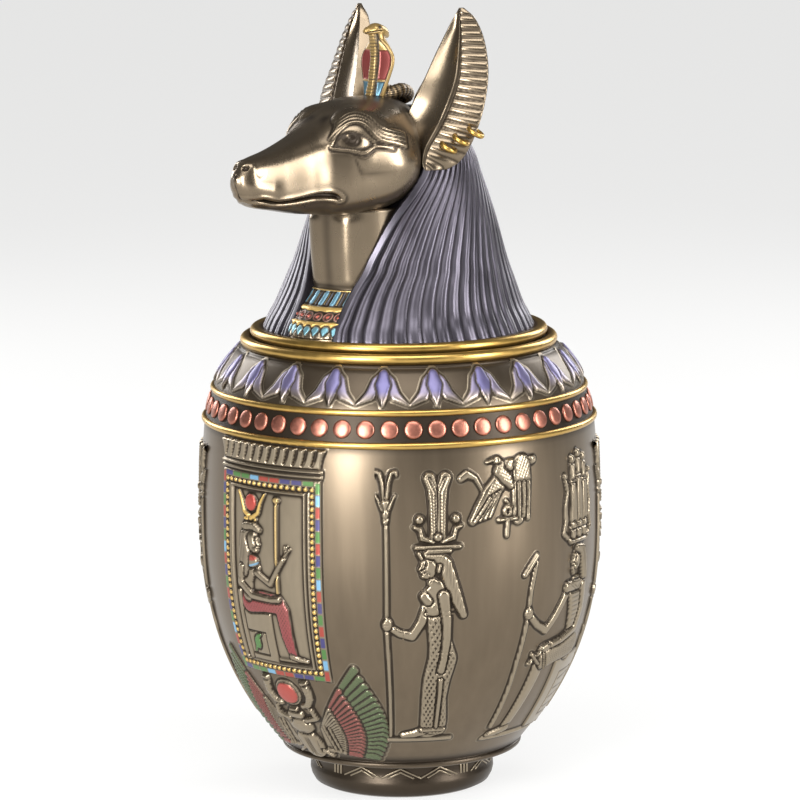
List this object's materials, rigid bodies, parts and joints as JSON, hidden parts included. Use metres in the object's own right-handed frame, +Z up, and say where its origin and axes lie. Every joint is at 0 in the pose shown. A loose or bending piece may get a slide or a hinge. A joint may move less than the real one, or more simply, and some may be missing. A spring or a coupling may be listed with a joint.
{
  "type": "canopic jar",
  "caption": "Round-shouldered footed jar with relief figures and a lift-off lid carved as a jackal's head in a striped headcloth.",
  "frame": {"origin": "on the jar's axis, at the flat underside that it stands on", "axes": "+Z up, the jackal looks along -Y, its left is +X"},
  "size_m": [0.1648, 0.1798, 0.32],
  "materials": {
    "jar_bronze": "cast resin filled with bronze powder, burnished, with a dark wash in the recesses and hand-painted ornament",
    "lid_bronze": "cast resin filled with bronze powder, burnished face, violet-washed headcloth, gold rings and flange"
  },
  "bodies": {
    "root": {"jar": "jar_bronze", "lid": "lid_bronze"}
  },
  "joints": []
}
